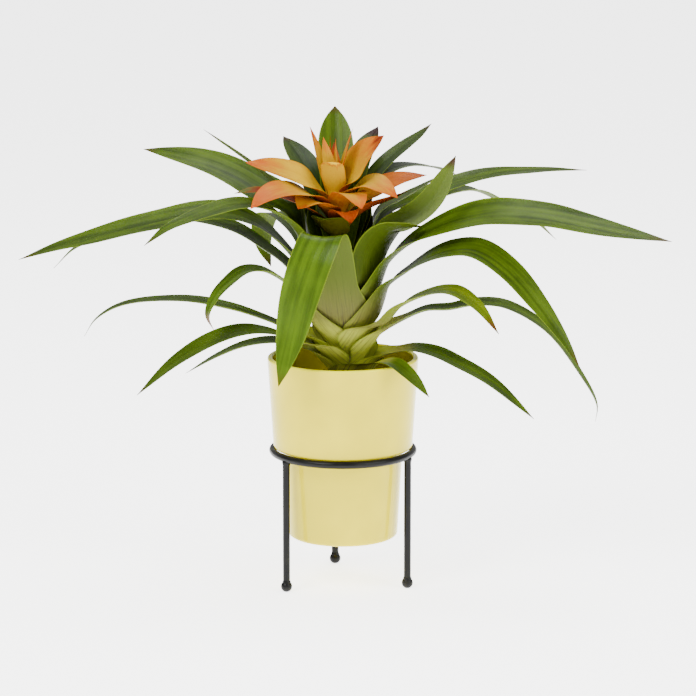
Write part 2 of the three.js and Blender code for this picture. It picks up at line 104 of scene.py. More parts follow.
# ---- The leaves, outermost first ----
# look: key of LEAF_LOOKS; turn: direction in degrees round +Z from +X; width: of the blade;
# keel: half the angle that a section bends through; roll: turn about the leaf's own length;
# taper: higher keeps it broad for longer; path: (reach, height, swing) points after the collar.
LEAVES = [
    dict(look="fresh", turn=-52, width=19, keel=34, roll=8,
         path=[(44, 216), (68, 219), (94, 210), (118, 196)]),
    dict(look="fresh", turn=-12, width=25, keel=32, roll=16,
         path=[(46, 221), (64, 224), (84, 221), (104, 212), (134, 196), (172, 163)]),
    dict(look="fresh", turn=165, width=20, keel=34, roll=-12,
         path=[(48, 224), (72, 225), (98, 220), (129, 207), (159, 190)]),
    dict(look="dark", turn=82, width=26, keel=34,
         path=[(56, 228), (82, 230), (102, 214), (112, 186)]),
    dict(look="fresh", turn=200, width=26, keel=30, roll=-14,
         path=[(48, 231), (70, 241), (95, 245), (127, 239), (163, 223), (205, 193)]),
    dict(look="fresh", turn=178, width=22, keel=36, roll=-6,
         path=[(50, 239), (76, 250), (104, 259), (150, 267), (205, 262), (231, 248), (243, 232)]),
    dict(look="fresh", turn=-8, width=27, keel=32, roll=6,
         path=[(50, 248), (76, 260), (99, 262), (122, 267), (150, 266), (186, 245), (214, 207),
               (229, 176), (227, 160)]),
    dict(look="dark", turn=108, width=28, keel=34,
         path=[(52, 250), (78, 260), (102, 250), (114, 222)]),
    dict(look="old", turn=-38, width=26, keel=32, roll=12,
         path=[(44, 250), (66, 269), (90, 281), (114, 289), (132, 290), (155, 279), (176, 257)]),
    dict(look="curled", turn=205, width=26, keel=28, roll=-6,
         path=[(44, 277), (60, 291), (78, 301), (96, 302), (113, 293), (127, 281), (136, 264),
               (131, 250)]),
    dict(look="fresh", turn=-28, width=33, keel=24, roll=24,
         path=[(46, 283), (68, 300), (94, 316), (116, 324), (142, 326), (172, 310), (202, 279),
               (226, 246), (237, 227)]),
    dict(look="front", turn=-93, width=38, keel=16, taper=3,
         path=[(42, 312, -4), (52, 333, -7), (66, 337, -9), (80, 322, -14), (90, 290, -21),
               (99, 248, -27), (112, 206, -31)]),
    dict(look="fresh", turn=172, width=31, keel=32, roll=-8,
         path=[(50, 298), (72, 316), (96, 331), (130, 340), (160, 341), (212, 324), (248, 311),
               (271, 291)]),
    dict(look="dark", turn=90, width=30, keel=34,
         path=[(47, 303), (72, 315), (98, 311), (112, 284)]),
    dict(look="fresh", turn=-20, width=43, keel=26, roll=27,
         path=[(46, 304), (64, 321), (90, 337), (120, 349), (155, 357), (198, 357), (236, 352),
               (276, 346), (317, 341)]),
    dict(look="fresh", turn=125, width=34, keel=22, taper=3,
         path=[(52, 316), (74, 330), (98, 336), (116, 332), (126, 318), (127, 300), (118, 282)]),
    dict(look="fresh", turn=187, width=36, keel=28, roll=-22,
         path=[(44, 308), (58, 326), (75, 341), (98, 350), (128, 351), (172, 343), (222, 332),
               (262, 322), (295, 312)]),
    dict(look="pale", turn=-32, width=50, keel=20, roll=-12, taper=2.6,
         path=[(37, 314), (45, 328), (56, 338), (68, 341, 6), (82, 341, 14)]),
    dict(look="fresh", turn=28, width=32, keel=28,
         path=[(46, 324), (73, 342), (106, 356), (144, 360), (170, 349), (203, 331), (232, 306)]),
    dict(look="fresh", turn=207, width=33, keel=24, roll=-9,
         path=[(40, 332), (58, 351), (82, 362), (106, 364), (128, 360), (150, 354), (172, 347),
               (195, 334)]),
    dict(look="browned", turn=-5, width=30, keel=12, roll=-50, taper=2.6,
         path=[(44, 334), (62, 343), (78, 354, -2), (92, 369, -4), (104, 388, -6), (115, 406, -8)]),
    dict(look="fresh", turn=158, width=38, keel=20, roll=-31,
         path=[(41, 349), (58, 361), (79, 370), (97, 379), (118, 387), (143, 393), (167, 396),
               (192, 398)]),
    dict(look="fresh", turn=20, width=32, keel=28, roll=8,
         path=[(48, 346), (78, 357), (107, 367), (138, 374), (173, 378), (212, 378), (252, 376)]),
    dict(look="grey", turn=171, width=31, keel=18, roll=20,
         path=[(36, 360), (56, 375), (74, 391), (91, 404), (105, 414), (119, 424)]),
    dict(look="fresh", turn=2, width=34, keel=26, taper=2.6,
         path=[(40, 350), (60, 362), (78, 372), (94, 382)]),
    dict(look="dark", turn=42, width=28, keel=28,
         path=[(37, 361), (56, 377), (84, 384), (122, 380), (158, 367)]),
    dict(look="dark", turn=118, width=30, keel=30, taper=2.6,
         path=[(36, 361), (52, 381), (74, 397), (99, 408)]),
    dict(look="dark", turn=47, width=22, keel=28, taper=2.6,
         path=[(39, 366), (66, 386), (98, 401), (120, 410), (137, 418)]),
    dict(look="purple", turn=60, width=26, keel=28, taper=2.6,
         path=[(34.5, 371), (47, 389), (64, 406), (86, 419)]),
    dict(look="fresh", turn=86, width=34, keel=24, taper=3,
         path=[(30, 379), (43, 407), (62, 440)]),
]

# ---- The bracts of the flower star, lowest first; the first path point is the collar ----
BRACTS = [
    dict(look="leafy", turn=-110, width=36, keel=44, taper=5,
         path=[(17, 336), (24, 344), (30, 348), (35, 349)]),
    dict(look="ember", turn=-4, width=25, keel=36, roll=-15,
         path=[(12, 340), (21, 349), (33, 356), (48, 362), (66, 370)]),
    dict(look="left", turn=208, width=21, keel=30, roll=-20,
         path=[(14, 343), (30, 356), (46, 365), (62, 371), (82, 376), (103, 375)]),
    dict(look="ember", turn=-74, width=28, keel=34, taper=2.6,
         path=[(12, 344), (24, 353), (36, 354), (46, 347)]),
    dict(look="flame", turn=2, width=30, keel=26, roll=26,
         path=[(12, 350), (30, 367), (47, 376), (62, 381), (85, 384)]),
    dict(look="low", turn=-128, width=36, keel=30, roll=-14, taper=2.4,
         path=[(13, 351), (26, 362), (40, 366), (56, 360)]),
    dict(look="salmon", turn=222, width=32, keel=26, roll=-20, taper=2.4,
         path=[(13, 356), (30, 369), (48, 375), (68, 377), (86, 373), (103, 364)]),
    dict(look="gold", turn=-62, width=32, keel=30, taper=2.6,
         path=[(12, 358), (24, 370), (38, 370), (50, 360)]),
    dict(look="gold", turn=194, width=36, keel=40, roll=-30, taper=2.4,
         path=[(10.4, 363), (30, 381), (56, 392), (82, 399)]),
    dict(look="gold", turn=-28, width=36, keel=28, roll=14, taper=2.6,
         path=[(10, 362), (24, 375), (38, 380), (51, 376), (64, 368)]),
    dict(look="two_sided", turn=0, width=40, keel=44, roll=30, taper=2.6,
         path=[(8.6, 367), (17, 383), (28, 402), (48, 421)]),
    dict(look="gold", turn=152, width=17, keel=36,
         path=[(8.6, 369), (13, 391), (17, 410), (22, 428)]),
    dict(look="spotted", turn=-94, width=23, keel=34, taper=6,
         path=[(7.5, 371), (12, 385), (18, 395), (25, 400)]),
    dict(look="ember", turn=85, width=13, keel=30,
         path=[(7.2, 376), (11, 390), (15, 402), (20, 412)]),
    dict(look="gold", turn=6, width=16, keel=34,
         path=[(6.2, 379), (9, 394), (14, 410), (20, 427)]),
    dict(look="yellow", turn=235, width=16, keel=40,
         path=[(6.2, 380), (8, 392), (10, 405), (13, 421)]),
]

# ---- Colours ----


# The renderer's default view rolls off bright colours. Its tone curve, over 16.5 stops, and the mix of
# primaries before it are the published ones. A base colour is found by running them backwards.
VIEW_MIX = np.array([[0.8425, 0.0784, 0.0792], [0.0423, 0.8785, 0.0792], [0.0424, 0.0784, 0.8791]])
VIEW_CURVE = (15.5, -40.14, 31.96, -6.868, 0.4298, 0.1191, -0.00232)
VIEW_STOPS = (-12.474, 16.5)
FLOOR_GLOW = 3.6  # the sweep is lit from behind, so that it shows nearly white
STUDIO_LIGHT = 1.9  # how bright a white surface is, lit as the front of the plant is


def shown_as(red, green, blue, light=STUDIO_LIGHT):
    """The base colour that shows as these display values, 0 to 255, in the studio's light."""
    level = np.linspace(0, 1, 600)
    curve = np.polyval(VIEW_CURVE, level)
    encoded = np.interp(VIEW_MIX @ (np.array([red, green, blue]) / 255), curve, level)
    colour = np.linalg.solve(VIEW_MIX, 2 ** (encoded * VIEW_STOPS[1] + VIEW_STOPS[0])) / light
    return (*np.clip(colour, 0.002, 0.95).tolist(), 1)


# Each leaf's upper side, dark and light; its underside; and its tip, with the share of the length where
# the tip starts.
LEAF_LOOKS = {
    "fresh": dict(dark=shown_as(60, 84, 4), light=shown_as(102, 128, 14), under=shown_as(106, 126, 40),
                  tip=shown_as(96, 74, 26), tip_start=0.975),
    "front": dict(streaks=1.0, dark=shown_as(74, 102, 6), light=shown_as(104, 134, 14),
                  under=shown_as(112, 124, 50),
                  tip=shown_as(100, 96, 30), tip_start=0.985),
    "old": dict(dark=shown_as(84, 106, 8), light=shown_as(132, 148, 26), under=shown_as(130, 142, 46),
                tip=shown_as(122, 80, 30), tip_start=0.94),
    "curled": dict(dark=shown_as(68, 96, 8), light=shown_as(108, 138, 18), under=shown_as(116, 136, 44),
                   tip=shown_as(128, 80, 30), tip_start=0.94),
    "pale": dict(dark=shown_as(74, 96, 10), light=shown_as(108, 124, 24), under=shown_as(80, 100, 8),
                 tip=shown_as(106, 92, 30), tip_start=0.98),
    "browned": dict(dark=shown_as(80, 104, 14), light=shown_as(112, 134, 40), under=shown_as(110, 128, 50),
                    tip=shown_as(84, 54, 28), tip_start=0.95),
    "grey": dict(dark=shown_as(62, 86, 12), light=shown_as(94, 118, 34), under=shown_as(104, 118, 62),
                 tip=shown_as(90, 58, 32), tip_start=0.95),
    "dark": dict(dark=shown_as(42, 66, 4), light=shown_as(76, 100, 14), under=shown_as(86, 106, 34),
                 tip=shown_as(80, 62, 30), tip_start=0.96),
    "purple": dict(dark=shown_as(50, 74, 6), light=shown_as(80, 102, 20), under=shown_as(78, 84, 34),
                   tip=shown_as(58, 28, 24), tip_start=0.9),
}
PALE_HEIGHT = (226, 330)  # leaves are palest up to the first height, and green from the second one up
PALE_REACH = (32, 80)  # and in the same way outwards
SHEATH = shown_as(196, 194, 112)
SHEATH_OUTSIDE = shown_as(150, 149, 82)
# The foot of each sheath, low in the pot: the sheath's own pale colour, lightened further, most on the outer
# side, as painted light against the shade there.
SHEATH_FOOT_PAINTED_LIGHT = shown_as(198, 201, 122)
SHEATH_STREAK = shown_as(106, 96, 70)
SHEATH_SPECK = shown_as(80, 56, 40)
LEAF_EDGE = shown_as(148, 162, 62)

# Each bract's colours from foot to tip, as (share of its length, colour), on its upper side and underside.
OLIVE = shown_as(116, 112, 32)
LEAF_GREEN = shown_as(86, 112, 18)
YELLOW = shown_as(222, 204, 6)
GOLD = shown_as(204, 176, 8)
AMBER = shown_as(196, 160, 10)
ORANGE = shown_as(200, 132, 24)
SALMON = shown_as(196, 108, 40)
RED = shown_as(154, 56, 24)
DEEP_RED = shown_as(112, 34, 24)
BRACT_LOOKS = {
    "leafy": dict(upper=[(0, OLIVE), (0.5, LEAF_GREEN), (1, LEAF_GREEN)], edge=LEAF_GREEN,
                  under=[(0, OLIVE), (0.8, OLIVE), (1, LEAF_GREEN)]),
    "ember": dict(upper=[(0, OLIVE), (0.3, ORANGE), (0.7, SALMON), (1, RED)],
                  under=[(0, OLIVE), (0.4, SALMON), (1, DEEP_RED)]),
    "left": dict(upper=[(0, OLIVE), (0.35, SALMON), (0.75, RED), (0.95, LEAF_GREEN), (1, OLIVE)],
                 under=[(0, OLIVE), (0.4, RED), (0.85, DEEP_RED), (1, OLIVE)]),
    "flame": dict(upper=[(0, OLIVE), (0.3, GOLD), (0.6, ORANGE), (1, RED)],
                  under=[(0, OLIVE), (0.4, ORANGE), (1, DEEP_RED)]),
    "low": dict(upper=[(0, GOLD), (0.5, AMBER), (0.85, AMBER), (1, SALMON)],
                under=[(0, OLIVE), (0.5, ORANGE), (1, RED)]),
    "salmon": dict(upper=[(0, GOLD), (0.45, GOLD), (0.75, ORANGE), (1, SALMON)],
                   under=[(0, ORANGE), (0.5, SALMON), (1, RED)]),
    "gold": dict(upper=[(0, YELLOW), (0.6, GOLD), (0.88, ORANGE), (1, SALMON)],
                 under=[(0, GOLD), (0.5, ORANGE), (1, RED)]),
    "yellow": dict(upper=[(0, YELLOW), (0.8, YELLOW), (1, GOLD)],
                   under=[(0, YELLOW), (0.7, GOLD), (1, ORANGE)]),
    "spotted": dict(upper=[(0, YELLOW), (0.55, GOLD), (0.86, ORANGE), (0.93, SALMON), (1, GOLD)],
                    under=[(0, AMBER), (0.4, GOLD), (0.84, GOLD), (0.92, ORANGE), (1, YELLOW)]),
    "two_sided": dict(upper=[(0, YELLOW), (0.5, GOLD), (0.85, ORANGE), (1, RED)],
                      under=[(0, ORANGE), (0.3, RED), (1, DEEP_RED)]),
}

# ---- Materials ----


class Surface:
    """A node material with one principled shader, and short ways to add nodes to it."""

    def __init__(self, name):
        self.material = bpy.data.materials.new(name)
        self.material.use_nodes = True
        self.tree = self.material.node_tree
        self.tree.nodes.clear()
        self.shader = self.add("ShaderNodeBsdfPrincipled")
        output = self.add("ShaderNodeOutputMaterial")
        self.tree.links.new(self.shader.outputs[0], output.inputs["Surface"])

    def put(self, socket, value):
        if isinstance(value, bpy.types.NodeSocket):
            self.tree.links.new(value, socket)
        else:
            socket.default_value = value

    def add(self, kind, inputs=(), **settings):
        node = self.tree.nodes.new(kind)
        for key, value in settings.items():
            setattr(node, key, value)
        for key, value in dict(inputs).items():
            self.put(node.inputs[key], value)
        return node

    def shade(self, **inputs):
        for key, value in inputs.items():
            self.put(self.shader.inputs[key.replace("_", " ")], value)

    def attribute(self, name, output="Fac"):
        return self.add("ShaderNodeAttribute", attribute_name=name).outputs[output]

    def coordinates(self):
        return self.add("ShaderNodeTexCoord").outputs["Object"]

    def scaled(self, vector, scale):
        return self.add("ShaderNodeVectorMath", {0: vector, 1: scale}, operation="MULTIPLY").outputs[0]

    def noise(self, vector, scale=1.0, detail=3.0, roughness=0.5):
        inputs = {"Vector": vector, "Scale": scale, "Detail": detail, "Roughness": roughness}
        return self.add("ShaderNodeTexNoise", inputs).outputs[0]

    def maths(self, operation, first, second=0.0, clamp=False):
        node = self.add("ShaderNodeMath", {0: first, 1: second}, operation=operation, use_clamp=clamp)
        return node.outputs[0]

    def span(self, value, low, high, new_low=0.0, new_high=1.0):
        inputs = {"Value": value, 1: low, 2: high, 3: new_low, 4: new_high}
        node = self.add("ShaderNodeMapRange", inputs, interpolation_type="SMOOTHSTEP")
        return node.outputs[0]

    def mix(self, factor, first, second):
        node = self.add("ShaderNodeMix", data_type="RGBA")
        self.put(node.inputs[0], factor)
        self.put(node.inputs[6], first)
        self.put(node.inputs[7], second)
        return node.outputs[2]

    def ramp(self, factor, stops):
        node = self.add("ShaderNodeValToRGB", {"Fac": factor})
        elements = node.color_ramp.elements
        while len(elements) < len(stops):
            elements.new(0.5)
        for element, (place, colour) in zip(elements, stops):
            element.position = place
            element.color = colour
        return node.outputs["Color"]

    def bump(self, height, distance, strength=1.0):
        inputs = {"Height": height, "Distance": distance, "Strength": strength}
        self.put(self.shader.inputs["Normal"], self.add("ShaderNodeBump", inputs).outputs[0])


def leaf_material(name, look):
    """A strap leaf: fine veins along it, a pale streaked sheath whose foot is painted lighter to lift the
    shade deep in the pot, a paler dull underside and a dry tip.
    """
    s = Surface(name)
    place = s.attribute("place", "Vector")
    share = s.attribute("share")
    sheath = s.attribute("sheath")
    under = s.attribute("under")
    edge = s.attribute("edge")
    veins = s.noise(s.scaled(place, (1.1, 0.012, 1)), detail=4.0, roughness=0.6)
    bands = s.noise(s.scaled(place, (0.16, 0.006, 1)), detail=2.0)
    cloud = s.noise(s.scaled(place, (0.05, 0.03, 1)), detail=3.0)
    uneven = s.maths("ADD", s.maths("MULTIPLY", bands, 0.6), s.maths("MULTIPLY", cloud, 0.4))
    tone = s.span(uneven, 0.36, 0.64)
    upper = s.mix(tone, look["dark"], look["light"])
    upper = s.mix(s.span(veins, 0.45, 0.75, 0, 0.35), upper, look["light"])
    lower = s.mix(s.span(veins, 0.35, 0.7, 0.0, 0.4), look["under"], look["light"])
    colour = s.mix(under, upper, lower)
    # Towards the foot of each sheath both sides go to one paler colour: painted light against the shade deep
    # in the pot.
    pale = s.mix(s.span(sheath, 0.75, 1.0), s.mix(under, SHEATH, SHEATH_OUTSIDE), SHEATH_FOOT_PAINTED_LIGHT)
    streaks = s.span(s.noise(s.scaled(place, (0.7, 0.02, 1)), detail=5.0, roughness=0.65), 0.47, 0.68,
                     look.get("streaks", 0.7) - 0.6, look.get("streaks", 0.7))
    pale = s.mix(s.maths("MULTIPLY", streaks, s.maths("ADD", s.maths("MULTIPLY", under, 0.7), 0.3)),
                 pale, SHEATH_STREAK)
    specks = s.span(s.noise(s.scaled(place, (1.3, 0.7, 1)), detail=2.0), 0.66, 0.74, 0, 0.6)
    pale = s.mix(specks, pale, SHEATH_SPECK)
    ragged = s.maths("ADD", sheath, s.maths("MULTIPLY", s.maths("SUBTRACT", veins, 0.5), 0.5))
    colour = s.mix(s.span(ragged, 0.1, 0.95), colour, pale)
    colour = s.mix(s.span(edge, 0.92, 0.99, 0, 0.55), colour, LEAF_EDGE)
    dry = s.maths("ADD", share, s.maths("MULTIPLY", s.maths("SUBTRACT", veins, 0.5), 0.06))
    start = look["tip_start"]
    colour = s.mix(s.span(dry, start - 0.05, start + 0.02), colour, look["tip"])
    spots = s.span(s.noise(s.scaled(place, (0.33, 0.2, 1)), detail=1.0), 0.72, 0.78, 0, 0.35)
    colour = s.mix(spots, colour, look["tip"])
    gloss = s.span(veins, 0.3, 0.7, 0.27, 0.38)
    dull = s.span(veins, 0.3, 0.7, 0.5, 0.62)
    flatness = s.maths("MAXIMUM", under, s.span(sheath, 0.2, 0.9))
    rough = s.add("ShaderNodeMix", {0: flatness, 2: gloss, 3: dull}, data_type="FLOAT").outputs[0]
    s.shade(Base_Color=colour, Roughness=rough, Specular_IOR_Level=0.08, Subsurface_Weight=0.05)
    s.shader.inputs["Subsurface Radius"].default_value = (0.4, 1.0, 0.15)
    s.shader.inputs["Subsurface Scale"].default_value = 0.002
    s.bump(s.maths("ADD", veins, s.maths("MULTIPLY", bands, 1.5)), 0.0004, 0.55)
    return s.material


def bract_material(name, look):
    """A satin bract that changes colour from foot to tip, with faint veins and freckles."""
    s = Surface(name)
    place = s.attribute("place", "Vector")
    share = s.attribute("share")
    under = s.attribute("under")
    edge = s.attribute("edge")
    veins = s.noise(s.scaled(place, (1.0, 0.02, 1)), detail=4.0, roughness=0.6)
    cloud = s.noise(s.scaled(place, (0.12, 0.05, 1)), detail=3.0)
    shift = s.maths("ADD", s.maths("MULTIPLY", s.maths("SUBTRACT", veins, 0.5), 0.35),
                    s.maths("MULTIPLY", s.maths("SUBTRACT", cloud, 0.5), 0.5))
    along = s.maths("ADD", share, s.maths("MULTIPLY", shift, s.span(share, 0, 0.3, 0.3, 1)))
    colour = s.mix(under, s.ramp(along, look["upper"]), s.ramp(along, look["under"]))
    colour = s.mix(s.span(edge, 0.82, 1, 0, 0.35), colour, look.get("edge", ORANGE))
    freckles = s.span(s.noise(s.scaled(place, (0.9, 0.5, 1)), detail=1.0), 0.68, 0.76, 0, 0.4)
    colour = s.mix(freckles, colour, RED)
    rough = s.span(veins, 0.3, 0.7, 0.36, 0.48)
    s.shade(Base_Color=colour, Roughness=rough, Specular_IOR_Level=0.08, Subsurface_Weight=0.1)
    s.shader.inputs["Subsurface Radius"].default_value = (1.0, 0.45, 0.1)
    s.shader.inputs["Subsurface Scale"].default_value = 0.002
    s.bump(veins, 0.0003, 0.5)
    return s.material


def glaze_material():
    """Glossy yellow glaze: clouded in depth, a painted highlight as a paler band on the lip, and a faint
    orange-peel skin.
    """
    s = Surface("glaze")
    here = s.coordinates()
    cloud = s.noise(here, 14.0, 3.0)
    fine = s.noise(here, 260.0, 2.0)
    colour = s.mix(s.span(cloud, 0.35, 0.65), shown_as(216, 208, 2), shown_as(222, 214, 4))
    height = s.add("ShaderNodeSeparateXYZ", {0: here}).outputs["Z"]
    # A paler band round the lip: a painted highlight along the lip's rounding.
    lip = s.span(height, (RIM_HEIGHT - 2.4) * MM, (RIM_HEIGHT - 0.6) * MM, 0, 0.45)
    colour = s.mix(lip, colour, shown_as(244, 228, 120))
    flecks = s.span(s.noise(here, 900.0, 1.0), 0.74, 0.8, 0, 0.35)
    colour = s.mix(flecks, colour, shown_as(206, 164, 60))
    rough = s.span(fine, 0.3, 0.7, 0.13, 0.19)
    s.shade(Base_Color=colour, Roughness=rough, Specular_IOR_Level=0.16)
    s.bump(s.maths("ADD", s.noise(here, 60.0, 2.0), s.maths("MULTIPLY", fine, 0.12)), 0.0006, 0.25)
    return s.material


def paint_material():
    """Black semi-gloss paint on steel rod."""
    s = Surface("black_paint")
    here = s.coordinates()
    peel = s.noise(here, 900.0, 2.0)
    broad = s.noise(here, 45.0, 2.0)
    colour = s.mix(s.span(broad, 0.35, 0.7), (0.002, 0.002, 0.002, 1), (0.006, 0.006, 0.005, 1))
    worn = s.span(s.noise(here, 420.0, 3.0), 0.7, 0.78, 0, 0.5)
    colour = s.mix(worn, colour, shown_as(58, 56, 54))
    rough = s.span(broad, 0.3, 0.7, 0.3, 0.46)
    s.shade(Base_Color=colour, Roughness=rough, Specular_IOR_Level=0.14)
    s.bump(peel, 0.0002, 0.4)
    return s.material


def grow_pot_material():
    """Thin matte black plastic with moulding streaks and a film of dust."""
    s = Surface("moulded_plastic")
    here = s.coordinates()
    streak = s.noise(s.scaled(here, (600, 600, 40)), 1.0, 3.0)
    dust = s.span(s.noise(here, 120.0, 4.0), 0.5, 0.8, 0, 0.4)
    colour = s.mix(dust, shown_as(32, 31, 30), shown_as(84, 74, 62))
    s.shade(Base_Color=colour, Roughness=s.span(streak, 0.3, 0.7, 0.45, 0.7))
    s.bump(streak, 0.0002, 0.4)
    return s.material


def soil_material(name, dark, light):
    """Fibrous peat and bark."""
    s = Surface(name)
    here = s.coordinates()
    grain = s.noise(here, 420.0, 6.0, 0.7)
    clod = s.noise(here, 90.0, 4.0)
    tone = s.maths("ADD", s.maths("MULTIPLY", grain, 0.6), s.maths("MULTIPLY", clod, 0.4))
    colour = s.mix(s.span(tone, 0.38, 0.66), dark, light)
    s.shade(Base_Color=colour, Roughness=s.span(grain, 0.3, 0.7, 0.75, 1.0), Specular_IOR_Level=0.2)
    s.bump(tone, 0.0015, 0.8)
    return s.material


def stem_material():
    """Pale green plant tissue with fibres along it."""
    s = Surface("stem_tissue")
    here = s.coordinates()
    fibres = s.noise(s.scaled(here, (900, 900, 30)), 1.0, 4.0)
    colour = s.mix(s.span(fibres, 0.35, 0.7), shown_as(146, 148, 84), shown_as(176, 176, 110))
    s.shade(Base_Color=colour, Roughness=s.span(fibres, 0.3, 0.7, 0.5, 0.7))
    s.bump(fibres, 0.0003, 0.5)
    return s.material


def floor_material():
    """A plain pale sweep of paper."""
    s = Surface("paper_sweep")
    grain = s.noise(s.coordinates(), 300.0, 2.0)
    colour = s.mix(grain, (0.93, 0.93, 0.93, 1), (0.95, 0.95, 0.95, 1))
    s.shade(Base_Color=colour, Roughness=0.95, Specular_IOR_Level=0.1, Emission_Color=colour)
    s.shade(Emission_Strength=FLOOR_GLOW)
    return s.material


# ---- Meshes ----


def ease(t):
    x = np.clip(t, 0, 1)
    return x * x * (3 - 2 * x)


def lerp(a, b, t):
    return a + (b - a) * t


def polar(radius, degrees):
    angle = math.radians(degrees)
    return radius * math.cos(angle), radius * math.sin(angle)


def unit(vectors):
    return vectors / np.linalg.norm(vectors, axis=-1, keepdims=True)


def mesh_object(name, points, faces, material, replaced=(), sharp=40):
    """A smooth-shaded piece from points in millimetres, riding on the object's one body."""
    mesh = bpy.data.meshes.new(name)
    mesh.from_pydata((np.asarray(points) * MM).tolist(), [], faces)
    mesh.materials.append(material)
    mesh.shade_smooth()
    mesh.set_sharp_from_angle(angle=math.radians(sharp))
    piece = bpy.data.objects.new(name, mesh)
    bpy.context.scene.collection.objects.link(piece)
    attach(piece, "root")
    if replaced:
        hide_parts(*replaced)
    return piece


def grid_faces(rows, columns, first=0, flip=False, wrap=False):
    """Faces of a grid of points, closed across where wrap is set."""
    faces = []
    for i in range(rows - 1):
        for j in range(columns if wrap else columns - 1):
            k = (j + 1) % columns
            a, b = first + i * columns + j, first + i * columns + k
            c, d = b + columns, a + columns
            faces.append((a, b, c, d) if flip else (a, d, c, b))
    return faces


def turned(profile, steps, wobble=None):
    """Points and faces of a profile of (radius, height) points turned about +Z. Its ends lie on the axis."""
    body = profile[1:-1]
    angles = np.arange(steps) * 2 * math.pi / steps
    points = [(0, 0, profile[0][1])]
    for radius, height in body:
        for angle in angles:
            r = radius + (wobble(angle, height) if wobble else 0)
            points.append((r * math.cos(angle), r * math.sin(angle), height))
    points.append((0, 0, profile[-1][1]))
    faces = grid_faces(len(body), steps, first=1, flip=True, wrap=True)
    last = len(points) - 1
    for j in range(steps):
        k = (j + 1) % steps
        faces.append((0, 1 + k, 1 + j))
        faces.append((last, last - steps + j, last - steps + k))
    return np.array(points, float), faces


def arc(x, z, radius, start, end, steps=8):
    """Points of an arc in a profile, about (x, z), from one angle to another in degrees."""
    points = []
    for i in range(steps + 1):
        dx, dz = polar(radius, start + (end - start) * i / steps)
        points.append((x + dx, z + dz))
    return points


def spline(points, steps=30):
    """Points close together on a centripetal Catmull-Rom curve through the given points."""
    p = np.array(points, float)
    p = np.vstack([2 * p[0] - p[1], p, 2 * p[-1] - p[-2]])
    t = np.linspace(0, 1, steps, endpoint=False)[:, None]
    pieces = []
    for a, b, c, d in zip(p[:-3], p[1:-2], p[2:-1], p[3:]):
        t0, t1, t2 = (np.linalg.norm(v) ** 0.5 for v in (b - a, c - b, d - c))
        leave = ((b - a) / t0 - (c - a) / (t0 + t1) + (c - b) / t1) * t1
        reach = ((c - b) / t1 - (d - b) / (t1 + t2) + (d - c) / t2) * t1
        bend = 3 * (c - b) - 2 * leave - reach
        pieces.append(b + leave * t + bend * t ** 2 + (2 * (b - c) + leave + reach) * t ** 3)
    pieces.append(p[-2][None])
    return np.vstack(pieces)


def leaf_half_width(share, collar, row):
    """Half the width of a leaf: a clasping sheath, a neck past the collar and a tapering blade."""
    blade = row["width"] / 2
    neck = blade * 0.94
    broadest = collar * 0.8
    free = min(collar * 2.4, collar + 0.12)
    widest = free + (1 - free) * 0.3
    half = lerp(LEAF_FOOT["reach"] * 1.4, row["sheath"], ease(share / broadest))
    narrowing = ease((share - broadest) / (free - broadest))
    half = np.where(share < broadest, half, lerp(row["sheath"], neck, narrowing))
    half = np.where(share < free, half, lerp(neck, blade, ease((share - free) / (widest - free))))
    past = np.clip((share - widest) / (1 - widest), 0, 1)
    return np.where(share < widest, half, np.maximum(blade * (1 - past ** row.get("taper", 2.2)), 0.25))


def bract_half_width(share, collar, row):
    """Half the width of a bract: broadest near its middle."""
    blade = row["width"] / 2
    widest = 0.42
    foot = min(blade * 0.5, BRACT_FOOT["reach"])
    past = np.clip((share - widest) / (1 - widest), 0, 1)
    tip = np.maximum(blade * (1 - past ** row.get("taper", 1.9)), 0.2)
    return np.where(share < widest, lerp(foot, blade, ease(share / widest)), tip)


def rotated(vectors, axes, angles):
    """Each vector turned about its own axis, which is at right angles to it."""
    angles = angles[:, None]
    return vectors * np.cos(angles) + np.cross(axes, vectors) * np.sin(angles)


